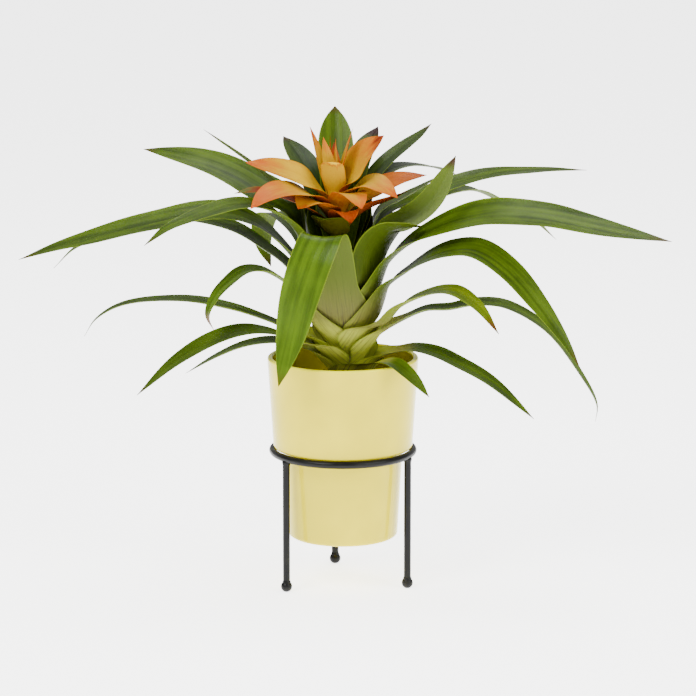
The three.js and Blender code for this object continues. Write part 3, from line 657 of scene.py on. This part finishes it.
def blade(name, row, rows, columns, half_width, material, slot, seed):
    """A leaf or bract: a thin closed sheet swept along its centre line, with slightly waved margins."""
    chance = random.Random(seed)
    marks = [row["foot"], *row["path"]]
    at = [(*polar(p[0], row["turn"] + (p[2] if len(p) > 2 else 0)), p[1]) for p in marks]
    foot, collar_point = np.array(at[0]), np.array(at[1])
    line = spline([foot, foot + 0.5 * (collar_point - foot), foot + 0.9 * (collar_point - foot), *at[1:]])
    travel = np.concatenate([[0], np.cumsum(np.linalg.norm(np.diff(line, axis=0), axis=1))])
    length = travel[-1]
    collar = np.linalg.norm(collar_point - foot) / length
    share = np.linspace(0, 1, rows) ** 1.15
    centre = np.stack([np.interp(share * length, travel, line[:, k]) for k in range(3)], 1)
    slope = np.gradient(line, travel, axis=0)
    along = unit(np.stack([np.interp(share * length, travel, slope[:, k]) for k in range(3)], 1))
    side = np.array([*polar(1, row["turn"] + 90), 0])
    free = ease((share / collar - 0.7) / 1.5)
    across = unit(side - along * (along @ side)[:, None])
    level = unit(centre * (-1, -1, 0))
    facing = unit(lerp(level, np.cross(along, across), free[:, None]))
    turn = math.radians(row.get("roll", 0)) * ease((share - collar) / (0.5 - collar))
    across, facing = rotated(across, along, turn), rotated(facing, along, turn)
    half = half_width(share, collar, row)
    reach = np.hypot(centre[:, 0], centre[:, 1])
    bend = lerp(half / reach, math.radians(row["keel"]) * (1 - 0.5 * share), free)
    u = np.linspace(-1, 1, columns)
    angle = (bend[:, None] * u)[..., None]
    radius = (half / bend)[:, None, None]
    across, facing = across[:, None], facing[:, None]
    middle = centre[:, None] + across * radius * np.sin(angle) + facing * radius * (1 - np.cos(angle))
    normal = facing * np.cos(angle) - across * np.sin(angle)
    waves = [(chance.uniform(2, 5), chance.uniform(0, 6.3)) for _ in range(3)]
    ripple = sum(np.sin(share * length / 60 * n + phase) for n, phase in waves)[:, None] / 3
    swell = np.sin(share * length / 22 + waves[0][1])[:, None] * u
    calm = (free * np.clip(half / 12, 0, 1))[:, None]
    lift = calm * (row.get("wave", 0.7) * ripple * np.abs(u) ** 3 + 0.25 * swell)
    groove = -0.35 * calm * np.exp(-(u / 0.12) ** 2)
    middle = middle + normal * (lift + groove)[..., None]
    body = lerp(SHEATH_THICKNESS, LEAF_THICKNESS, free)[:, None]
    thick = lerp(body, EDGE_THICKNESS * 0.7, (u * u)[None]) * np.clip(half / 6, 0.3, 1)[:, None]
    upper = middle + normal * thick[..., None] / 2
    lower = middle - normal * thick[..., None] / 2
    away = np.hypot(middle[..., 0], middle[..., 1])
    pale = (1 - ease((middle[..., 2] - PALE_HEIGHT[0]) / (PALE_HEIGHT[1] - PALE_HEIGHT[0]))) * (
        1 - ease((away - PALE_REACH[0]) / (PALE_REACH[1] - PALE_REACH[0])))
    points = np.vstack([upper.reshape(-1, 3), lower.reshape(-1, 3)])
    points[:, 0] += LEAN["base"] + LEAN["slope"] * (points[:, 2] - LEAN["from"])
    count = rows * columns
    faces = grid_faces(rows, columns) + grid_faces(rows, columns, first=count, flip=True)
    for i in range(rows - 1):
        a, b = i * columns, (i + 1) * columns
        faces.append((a, a + count, b + count, b))
        a, b = a + columns - 1, b + columns - 1
        faces.append((a, b, b + count, a + count))
    for j in range(columns - 1):
        last = count - columns + j
        faces.append((j, j + 1, j + 1 + count, j + count))
        faces.append((last, last + count, last + 1 + count, last + 1))
    piece = mesh_object(name, points, faces, material, [name])
    grids = {
        "share": np.repeat(share, columns),
        "sheath": pale.ravel(),
        "edge": np.tile(np.abs(u), rows),
    }
    for key, values in grids.items():
        attribute = piece.data.attributes.new(key, "FLOAT", "POINT")
        attribute.data.foreach_set("value", np.tile(values, 2))
    attribute = piece.data.attributes.new("under", "FLOAT", "POINT")
    attribute.data.foreach_set("value", np.repeat([0.0, 1.0], count))
    place = np.stack([half[:, None] * u, np.repeat((share * length)[:, None], columns, 1),
                      np.full((rows, columns), seed * 37.0)], -1).reshape(-1, 3)
    attribute = piece.data.attributes.new("place", "FLOAT_VECTOR", "POINT")
    attribute.data.foreach_set("vector", np.vstack([place, place + (0, 0, 11)]).ravel())
    return piece


def make_plant():
    leaf_materials = {look: leaf_material(f"leaf_{look}", colours) for look, colours in LEAF_LOOKS.items()}
    for i, leaf in enumerate(LEAVES):
        inward = i / (len(LEAVES) - 1)
        height = LEAF_FOOT["first"] + LEAF_FOOT["pitch"] * i + LEAF_FOOT["growth"] * i * i
        rise = lerp(*SHEATH_HEIGHT, inward)
        collar = (LEAF_FOOT["reach"] + lerp(*SHEATH_SPREAD, inward) * rise, height + rise)
        row = {**leaf, "foot": (LEAF_FOOT["reach"], height), "path": [collar, *leaf["path"]],
               "sheath": lerp(*SHEATH_HALF_WIDTH, inward)}
        blade(f"leaf_{i + 1:02d}", row, 72, 15, leaf_half_width, leaf_materials[leaf["look"]], "leaf", i + 1)
    bract_materials = {look: bract_material(f"bract_{look}", sides) for look, sides in BRACT_LOOKS.items()}
    for i, bract in enumerate(BRACTS):
        row = {**bract, "foot": (BRACT_FOOT["reach"], BRACT_FOOT["first"] + BRACT_FOOT["pitch"] * i)}
        material = bract_materials[bract["look"]]
        blade(f"bract_{i + 1:02d}", row, 48, 13, bract_half_width, material, "bract", 100 + i)
    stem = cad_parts["stem"]
    stem.data.materials.clear()
    stem.data.materials.append(stem_material())
    for number, look in ((1, "ember"), (2, "gold")):
        make_bud(f"flower_bud_{number}", bract_materials[look], number)


def make_bud(name, material, seed):
    """A pointed bud of overlapping scales, inside its CAD solid's box."""
    low, high = (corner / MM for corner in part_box(name))
    middle = (low + high) / 2
    radius = min(high.x - low.x, high.y - low.y) / 2
    height = high.z - low.z
    steps, levels = 24, 26
    points = []
    for i in range(levels):
        t = i / (levels - 1)
        swell = 0.6 + 0.4 * math.sin(math.pi * min(t / 0.7, 1))
        girth = radius * swell * (1 - ease((t - 0.55) / 0.45) * 0.93)
        shift = (low.x - middle.x + radius) * (0.5 - t)
        for j in range(steps):
            angle = 2 * math.pi * j / steps
            scales = 1 + 0.09 * math.cos(3 * angle + 5 * t + seed) * (1 - t)
            x, y = girth * scales * math.cos(angle), girth * scales * math.sin(angle)
            points.append((middle.x + shift + x, middle.y + y, low.z + height * t))
    faces = grid_faces(levels, steps, flip=True, wrap=True)
    faces.append(tuple(range(steps))[::-1])
    faces.append(tuple(range((levels - 1) * steps, levels * steps)))
    piece = mesh_object(name, points, faces, material, [name])
    heights = np.repeat(np.linspace(0, 1, levels), steps)
    for key, values in (("share", heights), ("under", heights * 0), ("edge", heights * 0)):
        attribute = piece.data.attributes.new(key, "FLOAT", "POINT")
        attribute.data.foreach_set("value", values)
    around = np.tile(np.arange(steps) * 0.8, levels)
    place = np.stack([around, heights * height, heights * 0 + seed * 5.0], 1)
    attribute = piece.data.attributes.new("place", "FLOAT_VECTOR", "POINT")
    attribute.data.foreach_set("vector", place.ravel())


def make_pot():
    inner = RIM_RADIUS - POT_WALL
    step = RING_HEIGHT - SHOULDER_ROUND + math.sqrt(
        (SHOULDER_ROUND + ROD_RADIUS + GAP) ** 2 - (RING_RADIUS - SHOULDER_RADIUS + SHOULDER_ROUND) ** 2)
    floor_height = BASE_HEIGHT + POT_WALL + 1
    foot = BASE_RADIUS - BASE_ROUND
    profile = [
        (0, BASE_HEIGHT + 1.5), (foot - 5, BASE_HEIGHT + 1.5), (foot - 4, BASE_HEIGHT + 0.6),
        *arc(foot, BASE_HEIGHT + BASE_ROUND, BASE_ROUND, -100, 0),
        *[(lerp(BASE_RADIUS, STEP_RADIUS, t), lerp(BASE_HEIGHT + BASE_ROUND, step, t))
          for t in (0.2, 0.4, 0.6, 0.8)],
        (STEP_RADIUS, step - 1.2), (STEP_RADIUS + 0.4, step - 0.3), (STEP_RADIUS + 1.2, step),
        *arc(SHOULDER_RADIUS - SHOULDER_ROUND, step + SHOULDER_ROUND, SHOULDER_ROUND, -90, 0),
        *[(lerp(SHOULDER_RADIUS, RIM_RADIUS, t), lerp(step + SHOULDER_ROUND, RIM_HEIGHT - LIP_ROUND, t))
          for t in (0.2, 0.4, 0.6, 0.8)],
        *arc(RIM_RADIUS - LIP_ROUND, RIM_HEIGHT - LIP_ROUND, LIP_ROUND, 0, 90),
        *arc(inner + LIP_ROUND, RIM_HEIGHT - LIP_ROUND, LIP_ROUND, 90, 180),
        (SHOULDER_RADIUS - POT_WALL, step + POT_WALL + 2), (STEP_RADIUS - POT_WALL, step + POT_WALL),
        (BASE_RADIUS - POT_WALL, floor_height), (0, floor_height),
    ]
    points, faces = turned(profile, 160)
    mesh_object("ceramic_pot", points, faces, glaze_material(), ["ceramic_pot"], sharp=60)


def make_grow_pot():
    lip = GROW_RIM_RADIUS + 1.6
    top, foot = GROW_RIM_HEIGHT, GROW_BASE_HEIGHT
    profile = [
        (0, foot + 1), (GROW_BASE_RADIUS - 6, foot + 1), (GROW_BASE_RADIUS - 5, foot),
        (GROW_BASE_RADIUS - 1, foot), (GROW_BASE_RADIUS, foot + 1),
        (GROW_RIM_RADIUS - 0.8, top - 5), (lip - 0.3, top - 4.2), (lip, top - 3.8),
        (lip, top - 0.4), (lip - 0.4, top), (GROW_RIM_RADIUS - GROW_WALL + 0.4, top),
        (GROW_RIM_RADIUS - GROW_WALL, top - 0.4), (GROW_BASE_RADIUS - GROW_WALL, foot + GROW_WALL),
        (0, foot + GROW_WALL),
    ]
    points, faces = turned(profile, 120)
    mesh_object("grow_pot", points, faces, grow_pot_material(), ["grow_pot"])


BARK_CHIPS = 170
CHIP_CORNERS = 7


def make_soil():
    """A crumbly surface in the grow pot, with bark chips lying on it."""
    taper = (GROW_RIM_RADIUS - GROW_BASE_RADIUS) / (GROW_RIM_HEIGHT - GROW_BASE_HEIGHT)
    inside = GROW_BASE_RADIUS - GROW_WALL - GAP * 2
    foot = GROW_BASE_HEIGHT + GROW_WALL + GAP
    outer = inside + taper * (SOIL_HEIGHT - 3 - foot)
    profile = [(0, foot), (inside, foot), (inside + taper * (SOIL_HEIGHT - 8 - foot), SOIL_HEIGHT - 8)]
    rings = 26
    profile += [(outer * (1 - (i / rings) ** 1.2), SOIL_HEIGHT - 3 + 3 * min(1, i / 6)) for i in range(rings)]
    profile.append((0, SOIL_HEIGHT))
    points, faces = turned(profile, 120)
    loose = points[:, 2] > SOIL_HEIGHT - 4
    for k in np.nonzero(loose)[0]:
        lump = noise.fractal(Vector(points[k] / 7), 1.0, 2.0, 4)
        points[k, 2] = min(points[k, 2] + 1.6 * lump, SOIL_HEIGHT + 0.8)
    soil = soil_material("peat", shown_as(30, 20, 13), shown_as(78, 56, 38))
    mesh_object("potting_mix", points, faces, soil, ["potting_mix"], sharp=180)
    chance = random.Random(11)
    chips, chip_faces = [], []
    for _ in range(BARK_CHIPS):
        reach = math.sqrt(chance.uniform(0.12, 1)) * (outer - 4)
        x, y = polar(reach, chance.uniform(0, 360))
        size = chance.uniform(1.2, 4)
        spin, tilt = chance.uniform(0, 6.3), chance.uniform(-0.5, 0.5)
        first = len(chips)
        for level, shrink in ((0, 1), (0.45, 0.86)):
            for c in range(CHIP_CORNERS):
                angle = 2 * math.pi * c / CHIP_CORNERS
                spread = size * shrink * chance.uniform(0.75, 1.1)
                dx, dy = spread * math.cos(angle), 0.55 * spread * math.sin(angle)
                chips.append((x + dx * math.cos(spin) - dy * math.sin(spin),
                              y + dx * math.sin(spin) + dy * math.cos(spin),
                              SOIL_HEIGHT + 0.3 + level * size * 0.6 + tilt * dx * 0.4))
        chip_faces.append(tuple(first + c for c in range(CHIP_CORNERS))[::-1])
        chip_faces.append(tuple(first + CHIP_CORNERS + c for c in range(CHIP_CORNERS)))
        chip_faces += grid_faces(2, CHIP_CORNERS, first=first, flip=True, wrap=True)
    bark = soil_material("bark", shown_as(58, 38, 24), shown_as(132, 96, 62))
    mesh_object("bark_chips", chips, chip_faces, bark)


def weld_bead(angle, height, low, high, seed):
    """How far the welds at the low and high end of a leg swell it: lumpy, and gone a few mm along."""
    near = max(1 - abs(height - high) / 3.2, 1 - abs(height - low) / 1.6, 0)
    return near * (0.7 + 0.25 * math.sin(5 * angle + seed) + 0.15 * math.sin(11 * angle))


def make_stand():
    paint = paint_material()
    steps, sides = 180, 20
    points = []
    for i in range(steps):
        turn = 360 * i / steps
        for j in range(sides):
            dr, dz = polar(ROD_RADIUS, 360 * j / sides)
            points.append((*polar(RING_RADIUS + dr, turn), RING_HEIGHT + dz))
    faces = grid_faces(steps, sides, flip=True, wrap=True)
    last = (steps - 1) * sides
    for j in range(sides):
        k = (j + 1) % sides
        faces.append((last + j, last + k, k, j))
    mesh_object("stand_ring", points, faces, paint, ["stand_ring"], sharp=180)
    ball = math.sqrt(FOOT_RADIUS ** 2 - FOOT_FLAT ** 2)
    ball_top = ball + math.sqrt(FOOT_RADIUS ** 2 - LEG_RADIUS ** 2)
    flat = math.degrees(math.asin(FOOT_FLAT / FOOT_RADIUS))
    neck = math.degrees(math.acos(LEG_RADIUS / FOOT_RADIUS))
    for seed, (side, turn) in enumerate(LEG_TURNS.items()):
        here = np.array([*polar(RING_RADIUS, turn), 0])
        under_ring = RING_HEIGHT - ROD_RADIUS
        swelling = partial(weld_bead, low=ball_top, high=under_ring, seed=seed)
        levels = [ball_top - 0.6 + k * 0.4 for k in range(8)]
        levels += [lerp(ball_top + 3, under_ring - 4, k / 16) for k in range(17)]
        levels += [under_ring - 3.6 + k * 0.4 for k in range(13)]
        profile = [(0, levels[0]), *[(LEG_RADIUS, z) for z in levels], (0, levels[-1])]
        points, faces = turned(profile, 24, swelling)
        mesh_object(f"stand_leg_{side}", points + here, faces, paint, [f"stand_leg_{side}"])
        profile = [(0, 0), *arc(0, ball, FOOT_RADIUS, flat - 90, neck, 22), (0, ball_top)]
        points, faces = turned(profile, 36)
        mesh_object(f"ball_foot_{side}", points + here, faces, paint, [f"ball_foot_{side}"])


make_pot()
make_grow_pot()
make_soil()
make_plant()
make_stand()

# ---- Studio ----
FLOOR_SIZE = 14.0
CAMERA_LENS = 188.02
CAMERA_PLACE = (0.0047, -3.300, 0.888)
CAMERA_PITCH = 11.4  # degrees below the level
mesh = bpy.data.meshes.new("floor")
edge = FLOOR_SIZE / 2
corners = [(-edge, -edge, 0), (edge, -edge, 0), (edge, edge * 3, 0), (-edge, edge * 3, 0)]
mesh.from_pydata(corners, [], [(0, 1, 2, 3)])
mesh.materials.append(floor_material())
floor = bpy.data.objects.new("floor", mesh)
bpy.context.scene.collection.objects.link(floor)

low, high = cad_box
middle = Vector(((low.x + high.x) / 2, (low.y + high.y) / 2, high.z * 0.55))


def softbox(name, place, size, power):
    """A square soft light that faces the plant."""
    light = bpy.data.lights.new(name, "AREA")
    light.shape = "SQUARE"
    light.size = size
    light.energy = power
    lamp = bpy.data.objects.new(name, light)
    lamp.location = place
    lamp.rotation_euler = (middle - Vector(place)).to_track_quat("-Z", "Y").to_euler()
    bpy.context.scene.collection.objects.link(lamp)


softbox("key", (-1.3, -1.5, 2.1), 1.0, 75)
softbox("fill", (1.7, -1.3, 1.4), 1.3, 50)
softbox("top", (0.1, 0.5, 2.3), 1.2, 40)

world = bpy.data.worlds.new("studio")
world.use_nodes = True
background = world.node_tree.nodes["Background"]
background.inputs["Color"].default_value = (1, 1, 1, 1)
background.inputs["Strength"].default_value = 0.75
bpy.context.scene.world = world

camera = bpy.data.objects.new("camera", bpy.data.cameras.new("camera"))
camera.data.sensor_width = 36
camera.data.lens = CAMERA_LENS
camera.location = CAMERA_PLACE
camera.rotation_euler = (math.radians(90 - CAMERA_PITCH), 0, 0)
bpy.context.scene.collection.objects.link(camera)
bpy.context.scene.camera = camera
